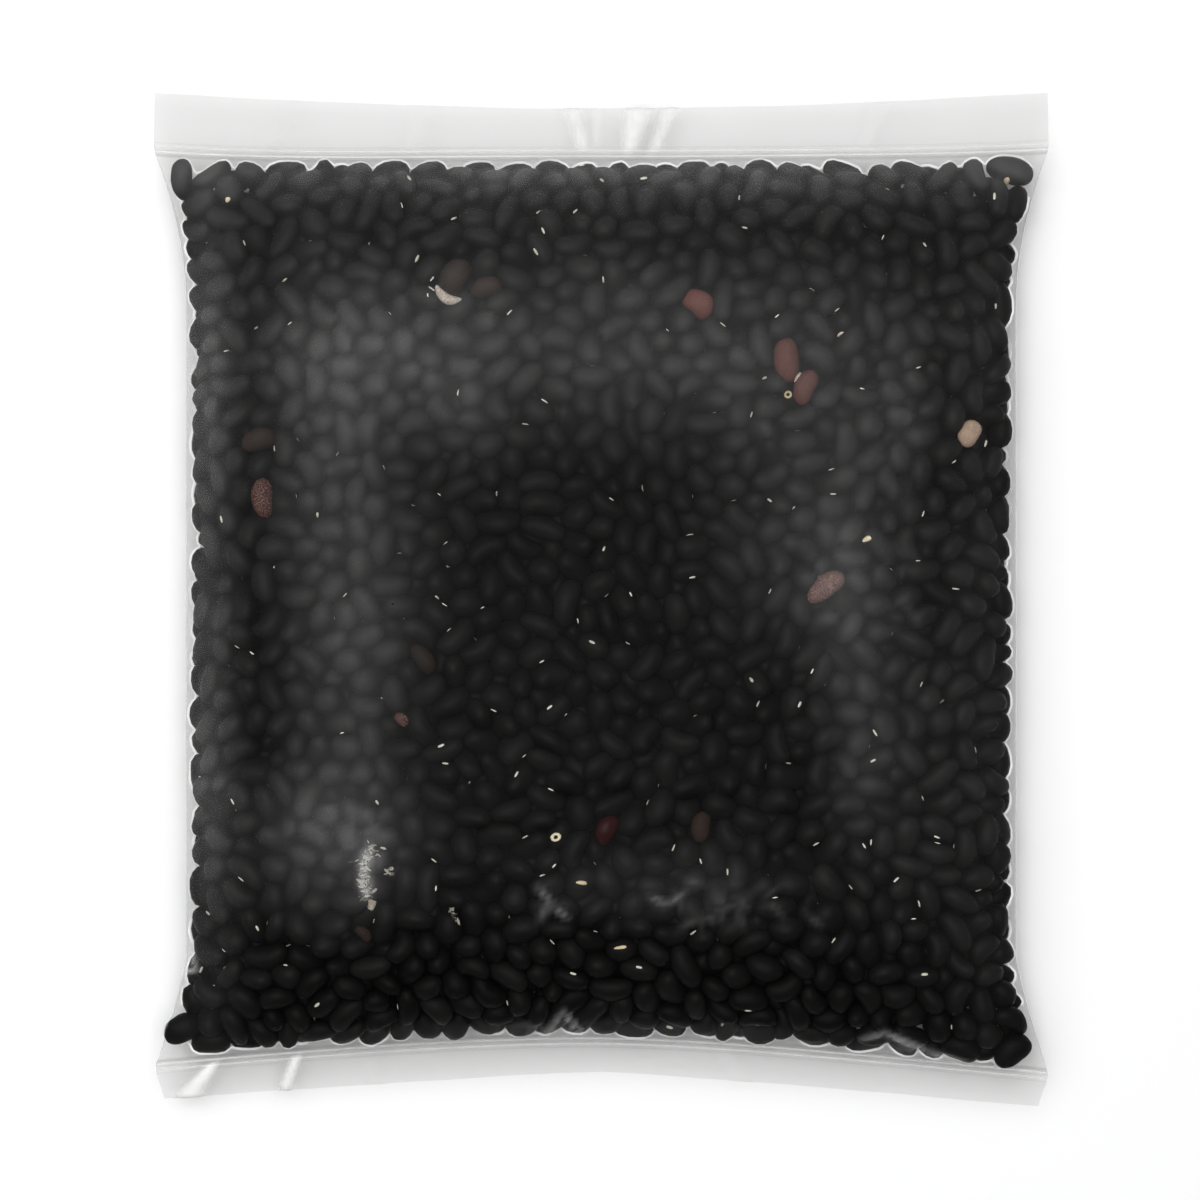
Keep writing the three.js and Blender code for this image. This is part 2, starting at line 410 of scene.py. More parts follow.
def loop_faces(row_count, loop_count, columns):
    """Quads between neighbouring loops, and caps that close the two cut edges."""
    start = np.arange(row_count - 1)[:, None] * loop_count
    place = np.arange(loop_count)[None, :]
    after = (place + 1) % loop_count
    quads = np.stack(
        [start + place, start + after, start + loop_count + after, start + loop_count + place], axis=2
    )
    faces = quads.reshape(-1, 4).tolist()
    # On a cut edge, the top places run from 0 to columns and the bottom ones come back.
    walls = (loop_count - 2 * (columns + 1)) // 2
    under_start = columns + 1 + walls
    for row, turned in ((0, True), (row_count - 1, False)):
        base = row * loop_count
        caps = []
        for step in range(columns):
            under = under_start + columns - step
            caps.append([step, step + 1, under - 1, under])
        caps.append([columns, *range(columns + 1, under_start), under_start])
        caps.append([under_start + columns, *range(under_start + columns + 1, loop_count), 0])
        for cap in caps:
            cap = [base + place for place in cap]
            faces.append(cap[::-1] if turned else cap)
    return faces


def loop_normals(points):
    """Outward normals on a grid of closed loops."""
    along = np.gradient(points, axis=0)
    around = np.roll(points, -1, axis=1) - np.roll(points, 1, axis=1)
    return unit(np.cross(around, along))


# ---------------------------------------------------------------- mesh helpers
def add_object(name, data):
    made = bpy.data.objects.new(name, data)
    bpy.context.scene.collection.objects.link(made)
    return made


def new_piece(name, points, faces):
    mesh = bpy.data.meshes.new(name)
    mesh.from_pydata(points, [], faces)
    mesh.update()
    mesh.shade_smooth()
    return add_object(name, mesh)


def store(mesh, name, kind, values):
    """Stores a number or a vector on every point of a mesh."""
    layer = mesh.attributes.new(name, kind, "POINT")
    field = "vector" if kind == "FLOAT_VECTOR" else "value"
    layer.data.foreach_set(field, np.asarray(values, dtype=np.float32).ravel())


def drop(piece):
    """Removes a working object and its mesh."""
    mesh = piece.data
    bpy.data.objects.remove(piece)
    bpy.data.meshes.remove(mesh)


# ---------------------------------------------------------------- packing the beans
def heights_at(tree, x, y):
    """Height of the top and of the underside of a search tree's surface at a place."""
    top = tree.ray_cast((x, y, 1), (0, 0, -1))[0]
    bottom = tree.ray_cast((x, y, -1), (0, 0, 1))[0]
    if top is None:
        return SEAL_HEIGHT, SEAL_HEIGHT
    return top.z, bottom.z


class DepthField:
    """How deep a point lies under the film, and which way is inward, off a grid of distances."""

    def __init__(self, tree, low, high, step):
        self.low, self.step = np.array(low), step
        self.counts = np.ceil((np.array(high) - self.low) / step).astype(int) + 1
        depth = np.empty(self.counts)
        for column in np.ndindex(*self.counts[:2]):
            x, y = self.low[:2] + np.array(column) * step
            top, bottom = heights_at(tree, x, y)
            for level in range(self.counts[2]):
                z = self.low[2] + level * step
                distance = tree.find_nearest((x, y, z))[3]
                depth[(*column, level)] = distance if bottom < z < top else -distance
        slopes = np.gradient(depth, step)
        self.grid = np.stack([depth, *slopes], axis=3)
        self.layer_space = np.count_nonzero((depth > 0) & (depth < LAYER_DEPTH)) * step**3

    def __call__(self, points):
        spot = (points - self.low) / self.step
        spot = np.clip(spot, 0, self.counts - 1.001)
        cell = spot.astype(int)
        part = spot - cell
        value = 0
        for corner in range(8):
            pick = np.array([corner >> 2 & 1, corner >> 1 & 1, corner & 1])
            share = np.prod(np.where(pick, part, 1 - part), axis=1)
            at = cell + pick
            value = value + share[:, None] * self.grid[at[:, 0], at[:, 1], at[:, 2]]
        return value[:, 0], unit(value[:, 1:])


def near_pairs(points, reach):
    """Each pair of points whose cells of size reach touch, once."""
    cell = np.floor((points - points.min(axis=0)) / reach).astype(np.int64) + 1
    span = cell.max(axis=0) + 2
    key = (cell[:, 0] * span[1] + cell[:, 1]) * span[2] + cell[:, 2]
    order = np.argsort(key, kind="stable")
    ranked = key[order]
    steps = [(x, y, z) for x in (-1, 0, 1) for y in (-1, 0, 1) for z in (-1, 0, 1)]
    first_of, second_of = [], []
    for step in steps[len(steps) // 2:]:
        wanted = ranked + (step[0] * span[1] + step[1]) * span[2] + step[2]
        start = np.searchsorted(ranked, wanted, "left")
        count = np.searchsorted(ranked, wanted, "right") - start
        first = np.repeat(np.arange(len(points)), count)
        run = np.arange(count.sum()) - np.repeat(np.cumsum(count) - count, count)
        second = np.repeat(start, count) + run
        if step == (0, 0, 0):
            keep = second > first
            first, second = first[keep], second[keep]
        first_of.append(order[first])
        second_of.append(order[second])
    return np.concatenate(first_of), np.concatenate(second_of)


def summed(index, vectors, count):
    """Adds vectors up by index."""
    return np.stack([np.bincount(index, vectors[:, axis], count) for axis in range(3)], axis=1)


# Settling: sizes against a bean's thickness, shares of an overlap, and shares of a turn.
END_BALL, END_REACH = 0.84, 0.86  # radius of a bean's end balls, and how far in they sit
START_SIZE, GROWN_AT = 0.5, 0.55  # beans start half size and are full size after this share
PAIR_STEPS, PAIR_REACH = 6, 1.0 * MM  # how often neighbours are looked up, and how far off
CORE_PUSH = 0.6
MOVE_SHARE, TURN_SHARE = 0.55, 0.5
LONGEST_MOVE = 1.2 * MM
OUTWARD_DRIFT, DRIFT_STOPS_AT = 0.05 * MM, 0.8
LIE_DOWN, LIE_ALONG = 0.02, 0.03


def settle(place, axis, size, pinned, depth_of, steps):
    """Pushes beans apart until they lie side by side under the film.

    Each bean is three balls in a row. They grow from small to full size while they are pushed
    out of each other, out of the film and out of the core."""
    count = len(place)
    thick = (size[:, 1] + size[:, 2]) / 4
    ball = np.stack([thick * END_BALL, thick, thick * END_BALL], axis=1)
    arm_length = size[:, 0] / 2 - thick * END_REACH
    arms = np.stack([-arm_length, arm_length * 0, arm_length], axis=1)
    owner = np.repeat(np.arange(count), 3)
    free = (~pinned).astype(float)[:, None]
    spin_drag = (arm_length**2 + thick**2 * 0.5)[:, None]
    for step in range(steps):
        growth = min(1, START_SIZE + (1 - START_SIZE) * step / (GROWN_AT * steps))
        radius = (ball * growth).reshape(-1)
        arm = (axis[:, None, :] * (arms * growth)[:, :, None]).reshape(-1, 3)
        centre = np.repeat(place, 3, axis=0) + arm
        if step % PAIR_STEPS == 0:
            first, second = near_pairs(centre, 2 * ball.max() * growth + PAIR_REACH)
            apart = owner[first] != owner[second]
            first, second = first[apart], second[apart]
        gap = centre[first] - centre[second]
        distance = np.linalg.norm(gap, axis=1)
        overlap = radius[first] + radius[second] - distance
        hit = overlap > 0
        i, j = first[hit], second[hit]
        push = gap[hit] / np.maximum(distance[hit], 1e-9)[:, None] * (overlap[hit] / 2)[:, None]
        depth, inward = depth_of(centre)
        under = np.maximum(0, radius + SKIN - depth)
        over = np.maximum(0, depth - (LAYER_DEPTH - radius * 0.7))
        wall = inward * (under - CORE_PUSH * over)[:, None]
        outward_drift = OUTWARD_DRIFT * max(0, 1 - step / (DRIFT_STOPS_AT * steps))
        force = summed(i, push, len(centre)) - summed(j, push, len(centre)) + wall
        turn = np.cross(arm, force)
        shift = summed(owner, force, count)
        spin = summed(owner, turn, count) / spin_drag
        bean_inward = summed(owner, inward, count) / 3
        shift = shift - bean_inward * outward_drift
        length = np.maximum(np.linalg.norm(shift, axis=1), 1e-9)
        shift = shift * np.minimum(1, LONGEST_MOVE / length)[:, None]
        place = place + shift * MOVE_SHARE * free
        axis = unit(axis + np.cross(spin * TURN_SHARE, axis) * free)
        # Beans against the film lie down along it.
        outer = depth.reshape(-1, 3)[:, 1] < thick * 1.5
        tip = np.sum(axis * bean_inward, axis=1) * outer * LIE_DOWN
        axis = unit(axis - bean_inward * tip[:, None] * free)
        # Beans at the sides and the seals lie along them.
        upright = axis[:, 2] * outer * (1 - np.abs(bean_inward[:, 2])) * LIE_ALONG
        axis[:, 2] -= upright * free[:, 0]
    return place, axis


def bean_frames(axis, inward, roll):
    """Turn of each bean: X along it, Z towards the film, rolled about its length."""
    out = unit(-inward - axis * np.sum(-inward * axis, axis=1, keepdims=True))
    side = np.cross(out, axis)
    c, s = np.cos(roll)[:, None], np.sin(roll)[:, None]
    y = side * c + out * s
    z = out * c - side * s
    return np.stack([axis, y, z], axis=2)


def angles_of(turn):
    """XYZ angles of turning matrices."""
    return np.stack(
        [
            np.arctan2(turn[:, 2, 1], turn[:, 2, 2]),
            -np.arcsin(np.clip(turn[:, 2, 0], -1, 1)),
            np.arctan2(turn[:, 1, 0], turn[:, 0, 0]),
        ],
        axis=1,
    )


def bean_shape(name, bend, dent, taper, around=12, rings=6):
    """A bean of unit size: long along X, with its eye in the hollow of the -Y side."""
    points = []
    for ring in range(1, rings + 1):
        turn = math.pi * ring / (rings + 1)
        x = math.cos(turn) / 2
        fat = math.sin(turn) ** 0.86 * (1 + taper * 2 * x)
        spine = bend * (1 - (2 * x) ** 2) - bend * 0.5
        for step in range(around):
            angle = 2 * math.pi * step / around
            y = math.cos(angle) / 2 * fat
            z = math.sin(angle) / 2 * fat
            if y < 0:
                y *= 1 - dent * 2 * math.exp(-((x / 0.2) ** 2))
            points.append((x, y + spine, z))
    first, last = len(points), len(points) + 1
    points += [(0.5, -bend * 0.5, 0), (-0.5, -bend * 0.5, 0)]
    faces = []
    for step in range(around):
        after = (step + 1) % around
        faces.append((first, step, after))
        for ring in range(rings - 1):
            base = ring * around
            faces.append((base + step, base + around + step, base + around + after, base + after))
        base = (rings - 1) * around
        faces.append((base + step, last, base + after))
    return new_piece(name, points, faces)


# ---------------------------------------------------------------- scattering
def add_node(tree, kind, inputs=None, **settings):
    """A new node. Each input is a value or another node's output."""
    made = tree.nodes.new(kind)
    for name, value in settings.items():
        setattr(made, name, value)
    for name, value in (inputs or {}).items():
        if isinstance(value, bpy.types.NodeSocket):
            tree.links.new(value, made.inputs[name])
        else:
            made.inputs[name].default_value = value
    return made


def scatter_tree():
    """Sets a shape on every point, with each point's turn and size, and dents the result."""
    tree = bpy.data.node_groups.new("Scatter beans", "GeometryNodeTree")
    for name, way, kind in (
        ("Geometry", "INPUT", "Geometry"),
        ("Shape", "INPUT", "Object"),
        ("Finish", "INPUT", "Material"),
        ("Dent depth", "INPUT", "Float"),
        ("Dents per metre", "INPUT", "Float"),
        ("Geometry", "OUTPUT", "Geometry"),
    ):
        tree.interface.new_socket(name, in_out=way, socket_type="NodeSocket" + kind)
    given = add_node(tree, "NodeGroupInput").outputs
    named = "GeometryNodeInputNamedAttribute"
    turn, size = (
        add_node(tree, named, {"Name": name}, data_type="FLOAT_VECTOR").outputs["Attribute"]
        for name in ("turn", "size")
    )
    shape = add_node(tree, "GeometryNodeObjectInfo", {"Object": given["Shape"]})
    place = add_node(tree, "GeometryNodeInstanceOnPoints", {
        "Points": given["Geometry"],
        "Instance": shape.outputs["Geometry"],
        "Rotation": add_node(tree, "FunctionNodeEulerToRotation", {0: turn}).outputs[0],
        "Scale": size,
    })
    real = add_node(tree, "GeometryNodeRealizeInstances", {0: place.outputs[0]})
    dents = add_node(tree, "ShaderNodeTexNoise", {
        "Vector": add_node(tree, "GeometryNodeInputPosition").outputs[0],
        "Scale": given["Dents per metre"],
        "Detail": 1.0,
    })
    centred = {0: dents.outputs["Color"], 1: (0.5, 0.5, 0.5)}
    centred = add_node(tree, "ShaderNodeVectorMath", centred, operation="SUBTRACT").outputs[0]
    deep = {0: centred, "Scale": given["Dent depth"]}
    deep = add_node(tree, "ShaderNodeVectorMath", deep, operation="SCALE").outputs[0]
    dented = add_node(tree, "GeometryNodeSetPosition", {0: real.outputs[0], "Offset": deep})
    smooth = add_node(tree, "GeometryNodeSetShadeSmooth", {0: dented.outputs[0]})
    finish = {0: smooth.outputs[0], "Material": given["Finish"]}
    finish = add_node(tree, "GeometryNodeSetMaterial", finish)
    add_node(tree, "NodeGroupOutput", {0: finish.outputs[0]})
    return tree


def scatter(name, tree, shape, finish, place, turn, size, tone, dent_depth, dents_per_metre):
    """One plain mesh of many copies of a shape."""
    points = bpy.data.meshes.new(name + "_points")
    points.vertices.add(len(place))
    points.vertices.foreach_set("co", place.astype(np.float32).ravel())
    store(points, "turn", "FLOAT_VECTOR", angles_of(turn))
    store(points, "size", "FLOAT_VECTOR", size)
    store(points, "tone", "FLOAT", tone)
    source = add_object(name + "_points", points)
    modifier = source.modifiers.new("Scatter", "NODES")
    modifier.node_group = tree
    values = {
        "Shape": shape,
        "Finish": finish,
        "Dent depth": dent_depth,
        "Dents per metre": float(dents_per_metre),
    }
    for socket in tree.interface.items_tree:
        if socket.in_out == "INPUT" and socket.name in values:
            modifier[socket.identifier] = values[socket.name]
    source.update_tag()
    seen = source.evaluated_get(bpy.context.evaluated_depsgraph_get())
    mesh = bpy.data.meshes.new_from_object(seen)
    mesh.name = name
    for label in ("turn", "size"):
        if label in mesh.attributes:
            mesh.attributes.remove(mesh.attributes[label])
    source.modifiers.remove(modifier)
    drop(source)
    return add_object(name, mesh)


# ---------------------------------------------------------------- materials
def new_material(name):
    """An empty material, its node tree and the place on the object."""
    material = bpy.data.materials.new(name)
    material.use_nodes = True
    tree = material.node_tree
    tree.nodes.clear()
    return material, tree, add_node(tree, "ShaderNodeTexCoord").outputs["Object"]


def math_node(tree, operation, *operands):
    """A Math node. Each operand is a number or another node's output."""
    return add_node(tree, "ShaderNodeMath", dict(enumerate(operands)), operation=operation).outputs[0]


def noise_node(tree, where, scale, detail):
    inputs = {"Vector": where, "Scale": scale, "Detail": detail}
    return add_node(tree, "ShaderNodeTexNoise", inputs).outputs["Fac"]


def attribute_node(tree, name):
    return add_node(tree, "ShaderNodeAttribute", attribute_name=name).outputs["Fac"]


def mixed_shader(tree, share, first, second):
    inputs = {"Fac": share, 1: first.outputs[0], 2: second.outputs[0]}
    return add_node(tree, "ShaderNodeMixShader", inputs)


def mixed_colour(tree, share, first, second):
    inputs = {"Factor": share, "A": (*first, 1), "B": (*second, 1)}
    return add_node(tree, "ShaderNodeMix", inputs, data_type="RGBA").outputs["Result"]


def coat_material(name, dark, light, roughness, wrinkle=0.25, veins=0.0):
    """Seed coat: a tone for each bean, faint mottling, fine wrinkles, and wavy veins."""
    material, tree, where = new_material(name)
    mottle = noise_node(tree, where, MOTTLES_PER_METRE, 4)
    height = noise_node(tree, where, GRAINS_PER_METRE, 3)
    share = math_node(tree, "MULTIPLY_ADD", mottle, 0.5, attribute_node(tree, "tone"))
    share = math_node(tree, "SUBTRACT", share, 0.15)
    if veins:
        swirl = math_node(tree, "MULTIPLY", noise_node(tree, where, SWIRLS_PER_METRE, 1), VEIN_TURNS)
        vein = math_node(tree, "MAXIMUM", math_node(tree, "SINE", swirl), 0.0)
        share = math_node(tree, "MULTIPLY_ADD", vein, veins, share)
        height = math_node(tree, "MULTIPLY_ADD", vein, 0.8, height)
    rough = {"Value": mottle, "To Min": roughness - 0.1, "To Max": roughness + 0.12}
    raised = {"Strength": wrinkle, "Distance": WRINKLE_HEIGHT, "Height": height}
    skin = add_node(tree, "ShaderNodeBsdfPrincipled", {
        "Base Color": mixed_colour(tree, share, dark, light),
        "Specular IOR Level": COAT_SHEEN,
        "Roughness": add_node(tree, "ShaderNodeMapRange", rough).outputs["Result"],
        "Normal": add_node(tree, "ShaderNodeBump", raised).outputs["Normal"],
    })
    add_node(tree, "ShaderNodeOutputMaterial", {"Surface": skin.outputs[0]})
    return material


def seal_lines(tree, distance, lines):
    """Thin lines along a seal: each is (distance outward, half width, strength), in millimetres."""
    total = 0.0
    for offset, half_width, strength in lines:
        away = math_node(tree, "SUBTRACT", distance, offset * MM)
        away = math_node(tree, "ABSOLUTE", away)
        near = math_node(tree, "MULTIPLY_ADD", away, -1 / (half_width * MM), 1.0)
        near = math_node(tree, "MAXIMUM", near, 0.0)
        total = math_node(tree, "MULTIPLY_ADD", near, strength, total)
    return total


def film_material():
    """Thin clear film: clear, with painted reflection in milky patches where it clings, painted
    highlights on its creases, creased at the seals, with a soft gloss.
    """
    material, tree, where = new_material("clear_film")

    # Lines along the seals wander a little.
    stretched = {"Vector": where, "Scale": (1, 0.25, 0)}
    stretched = add_node(tree, "ShaderNodeMapping", stretched).outputs["Vector"]
    wander = math_node(tree, "SUBTRACT", noise_node(tree, stretched, 9, 0), 0.5)
    fade = noise_node(tree, stretched, 22, 1)
    distance = attribute_node(tree, "from_seal")
    distance = math_node(tree, "MULTIPLY_ADD", wander, SEAL_WANDER, distance)
    grey = seal_lines(tree, distance, SEAL_GREY_LINES)
    white = math_node(tree, "MULTIPLY", seal_lines(tree, distance, SEAL_WHITE_LINES), fade)
    tint = mixed_colour(tree, grey, CLEAR_TINT, SEAL_GREY)
    clear = add_node(tree, "ShaderNodeBsdfTransparent", {"Color": tint})

    # The painted reflection and the creases' painted highlights are cloudy, in large and small patches.
    clouds = noise_node(tree, where, SMALL_CLOUDS_PER_METRE, 3)
    clouds = math_node(tree, "MULTIPLY_ADD", clouds, 0.4, 0.35)
    large = noise_node(tree, where, LARGE_CLOUDS_PER_METRE, 2)
    clouds = math_node(tree, "MULTIPLY_ADD", large, 0.9, clouds)
    haze_and_sheen = math_node(tree, "MULTIPLY", attribute_node(tree, "haze_and_sheen"), clouds)
    haze_and_sheen = math_node(tree, "ADD", haze_and_sheen, white)
    # The painted reflection and highlights are a pale diffuse laid over the clear film, with the seals'
    # white lines.
    haze = add_node(tree, "ShaderNodeBsdfDiffuse", {"Color": (*HAZE_AND_SHEEN_COLOUR, 1)})
    hazy = mixed_shader(tree, haze_and_sheen, clear, haze)

    gloss = {"Color": (1, 1, 1, 1), "Roughness": GLOSS_ROUGHNESS}
    gloss = add_node(tree, "ShaderNodeBsdfAnisotropic", gloss)
    slant = add_node(tree, "ShaderNodeLayerWeight", {"Blend": 0.5}).outputs["Facing"]
    glance = math_node(tree, "POWER", slant, GLANCE_POWER)
    glance = math_node(tree, "MULTIPLY_ADD", glance, GLANCE_SLANTED, GLANCE_FACING)
    shiny = mixed_shader(tree, glance, hazy, gloss)
    add_node(tree, "ShaderNodeOutputMaterial", {"Surface": shiny.outputs[0]})
    return material


def edge_glint_material():
    """Painted highlight: white where the film shines, fading in and out along its edge."""
    material, tree, where = new_material("film_edge_glint")
    fade = math_node(tree, "MULTIPLY_ADD", noise_node(tree, where, 45, 2), 3.0, -0.5)
    clear = add_node(tree, "ShaderNodeBsdfTransparent")
    white = add_node(tree, "ShaderNodeBsdfDiffuse", {"Color": (0.95, 0.95, 0.95, 1)})
    mixed = mixed_shader(tree, fade, clear, white)
    add_node(tree, "ShaderNodeOutputMaterial", {"Surface": mixed.outputs[0]})
    return material


def floor_material():
    """Pale floor. It glows faintly where the panels no longer reach, so that it stays even."""
    material, tree, where = new_material("pale_floor")
    away = add_node(tree, "ShaderNodeVectorMath", {0: where}, operation="LENGTH").outputs["Value"]
    reach = math_node(tree, "MAXIMUM", math_node(tree, "SUBTRACT", away, LIT_FLOOR), 0.0)
    reach = math_node(tree, "DIVIDE", reach, PANEL_HEIGHT)
    lit = math_node(tree, "POWER", math_node(tree, "MULTIPLY_ADD", reach, reach, 1.0), -2.0)
    surface = add_node(tree, "ShaderNodeBsdfPrincipled", {
        "Base Color": (0.9, 0.9, 0.9, 1),
        "Roughness": 0.9,
        "Emission Color": (1, 1, 1, 1),
        "Emission Strength": math_node(tree, "SUBTRACT", 1.0, lit),
    })
    add_node(tree, "ShaderNodeOutputMaterial", {"Surface": surface.outputs[0]})
    return material


# ---------------------------------------------------------------- the filling's pieces
def joined_tree(pieces):
    """One search tree for the surfaces of several pieces."""
    points, faces = [], []
    for piece in pieces:
        base = len(points)
        points += [corner.co.copy() for corner in piece.data.vertices]
        faces += [[base + corner for corner in face.vertices] for face in piece.data.polygons]
    return BVHTree.FromPolygons(points, faces)


def make_core():
    """The dark mass behind the outer beans: the bag's form, set in all round."""
    steps = 26
    side = np.linspace(-CORE_REACH, CORE_REACH, steps + 1)
    along, across = np.meshgrid(side, side, indexing="ij")
    x, y, bottom, top = body_form(across, along)
    middle = (bottom + top) / 2
    half = np.maximum(0.3 * MM, (top - bottom) / 2 - CORE_DEPTH)
    relief = np.random.default_rng(7).uniform(-CORE_RELIEF, 0, x.shape)
    upper = np.stack([x, y, middle + half + relief * (half > 2 * MM)], axis=2).reshape(-1, 3)
    lower = np.stack([x, y, middle - half], axis=2).reshape(-1, 3)
    count, row = len(upper), steps + 1
    faces = []
    for i in range(steps):
        for j in range(steps):
            a = i * row + j
            faces.append((a, a + 1, a + row + 1, a + row))
            faces.append((count + a, count + a + row, count + a + row + 1, count + a + 1))
    rim = [(0, j) for j in range(steps)] + [(i, steps) for i in range(steps)]
    rim += [(steps, steps - j) for j in range(steps)] + [(steps - i, 0) for i in range(steps)]
    rim = [i * row + j for i, j in rim]
    for here, after in zip(rim, rim[1:] + rim[:1]):
        faces.append((here, count + here, count + after, after))
    core = new_piece("bean_core", np.concatenate([upper, lower]).tolist(), faces)
    core.data.materials.append(
        coat_material("bean_shadow", (0.004, 0.004, 0.004), (0.012, 0.012, 0.012), 0.8)
    )
    return core


def heading_axis(degrees):
    return [math.cos(math.radians(degrees)), math.sin(math.radians(degrees)), 0]


def place_seen_beans(form_tree):
    """Places, axes and sizes of the beans that lie in known spots right under the film."""
    places, axes, sizes = [], [], []
    for _, x, y, heading, length, width, _, sunk in SEEN_BEANS:
        thick = width * 0.84 * MM
        top, bottom = heights_at(form_tree, x * MM, y * MM)
        height = max(top - SKIN - thick / 2 - sunk * MM, (top + bottom) / 2)
        places.append([x * MM, y * MM, height])
        axes.append(heading_axis(heading))
        sizes.append([length * MM, width * MM, thick])
    return np.array(places), np.array(axes), np.array(sizes)


def lay_beans(depth_of, form_tree):
    """Places, turns, sizes, tones and kinds of all the beans. The seen beans come first."""
    random = np.random.default_rng(BEAN_SEED)
    mean_bean = math.pi / 6 * BEAN_LENGTH * BEAN_WIDTH * BEAN_THICKNESS * 1.08
    count = int(depth_of.layer_space * PACKING_SHARE / mean_bean)
    names = list(BEAN_KINDS)
    kind = random.choice(len(names), count, p=[BEAN_KINDS[name]["share"] for name in names])
    base = np.array([BEAN_KINDS[name]["size"] for name in names])[kind]
    size = base * (BEAN_LENGTH, BEAN_WIDTH, BEAN_THICKNESS)
    size = size * random.normal(1, BEAN_SPREAD / 2, (count, 1))
    size = size * random.normal(1, BEAN_SPREAD / 2, (count, 3))

    place = np.empty((0, 3))
    low = np.array(bag_low)
    high = np.array(bag_high)
    while len(place) < count:
        trial = random.uniform(low, high, (count * 4, 3))
        depth, _ = depth_of(trial)
        keep = (depth > 2 * MM) & (depth < LAYER_DEPTH - 2 * MM)
        place = np.concatenate([place, trial[keep]])
    axis = unit(random.normal(size=(count, 3)))

    seen_place, seen_axis, seen_size = place_seen_beans(form_tree)
    seen = len(seen_place)
    place = np.concatenate([seen_place, place[:count]])
    axis = np.concatenate([seen_axis, axis])
    size = np.concatenate([seen_size, size])
    kind = np.concatenate([np.full(seen, -1), kind])
    pinned = kind < 0
    steps = 360
    place, axis = settle(place, axis, size, pinned, depth_of, steps)

    depth, inward = depth_of(place)
    kept = pinned | (depth > size[:, 2] * 0.4)
    place, axis, inward, size, kind = (values[kept] for values in (place, axis, inward, size, kind))
    count = len(place)
    roll = random.normal(0, math.radians(34), count) + math.pi * random.integers(0, 2, count)
    roll[:seen] = math.radians(20)
    inward[:seen] = np.where(place[:seen, 2:] > SEAL_HEIGHT, (0, 0, -1), inward[:seen])
    turn = bean_frames(axis, inward, roll)
    tone = random.beta(2, 4, count)
    tone[:seen] = [bean[6] for bean in SEEN_BEANS]
    return place, turn, size, tone, kind, random


def lift_off_table(piece):
    """Flattens what would reach through the film that lies on the table."""
    mesh = piece.data
    points = np.empty(len(mesh.vertices) * 3, dtype=np.float32)
    mesh.vertices.foreach_get("co", points)
    points[2::3] = np.maximum(points[2::3], TABLE_GAP)
    mesh.vertices.foreach_set("co", points)
    mesh.update()


def make_black_beans(tree, place, turn, size, tone, kind, random):
    """The black beans, one piece for each shape, and the eyes that show on about a third."""
    black = coat_material("black_bean", *BLACK_COAT)
    pieces = []
    eye_places, eye_turns, eye_sizes = [], [], []
    for number, (name, shape_of) in enumerate(BEAN_KINDS.items()):
        pick = kind == number
        shape = bean_shape("shape", shape_of["bend"], shape_of["dent"], shape_of["taper"])
        pieces.append(
            scatter(
                "black_beans_" + name, tree, shape, black, place[pick], turn[pick], size[pick],
                tone[pick], DENT_DEPTH, DENTS_PER_METRE,
            )
        )
        drop(shape)
        belly = -0.5 * (1 - shape_of["dent"] * 2) + shape_of["bend"] * 0.5
        offset = turn[pick][:, :, 1] * (size[pick][:, 1:2] * belly)
        has_eye = random.uniform(size=pick.sum()) < EYE_SHARE
        eye_places.append((place[pick] + offset)[has_eye])
        eye_turns.append(turn[pick][has_eye])
        grow = random.uniform(0.8, 1.2, (has_eye.sum(), 1))
        eye_sizes.append(grow * (EYE_LENGTH, EYE_THICKNESS, EYE_HEIGHT))

    eye_shape = bean_shape("eye_shape", 0.0, 0.0, 0.0, around=8, rings=3)
    cream = coat_material("bean_eye", (0.42, 0.40, 0.33), (0.78, 0.76, 0.66), 0.6)
    eye_places = np.concatenate(eye_places)
    eye_tones = random.uniform(0, 1, len(eye_places))
    eyes = scatter(
        "bean_eyes", tree, eye_shape, cream, eye_places, np.concatenate(eye_turns),
        np.concatenate(eye_sizes), eye_tones, DENT_DEPTH, DENTS_PER_METRE,
    )
    drop(eye_shape)
    return pieces, eyes


def make_seen_beans(tree, place, turn, size, tone):
    """The beans of SEEN_BEANS, one piece for each finish."""
    coats = {
        "ear_black": ("black_bean", *BLACK_COAT, 0.25, 0),
        "dull_brown": ("brown_bean", (0.006, 0.005, 0.0038), (0.024, 0.014, 0.0105), 0.55, 0.4, 0.25),
        "veined_brown": ("brown_bean", (0.040, 0.015, 0.012), (0.23, 0.125, 0.105), 0.5, 0.6, 0.6),
        "brown": ("brown_bean", (0.016, 0.0095, 0.0075), (0.115, 0.036, 0.027), 0.55, 0.5, 0.15),
        "deep_red": ("brown_bean", (0.008, 0.0012, 0.0012), (0.03, 0.004, 0.004), 0.3, 0.3, 0),
        "pale": ("pale_bean", (0.17, 0.105, 0.07), (0.46, 0.34, 0.25), 0.5, 0.5, 0.15),
    }
    pieces = []
    shape = bean_shape("shape", 0.07, 0.05, 0.08, around=28, rings=15)
    for finish, (slot, dark, light, roughness, wrinkle, veins) in coats.items():
        pick = np.array([bean[0] == finish for bean in SEEN_BEANS])
        coat = coat_material(finish + "_coat", dark, light, roughness, wrinkle, veins)
        piece = scatter(
            finish + "_beans", tree, shape, coat, place[pick], turn[pick], size[pick], tone[pick],
            DENT_DEPTH * 0.7, 230,
        )
        pieces.append((piece, slot))
    drop(shape)
    return pieces


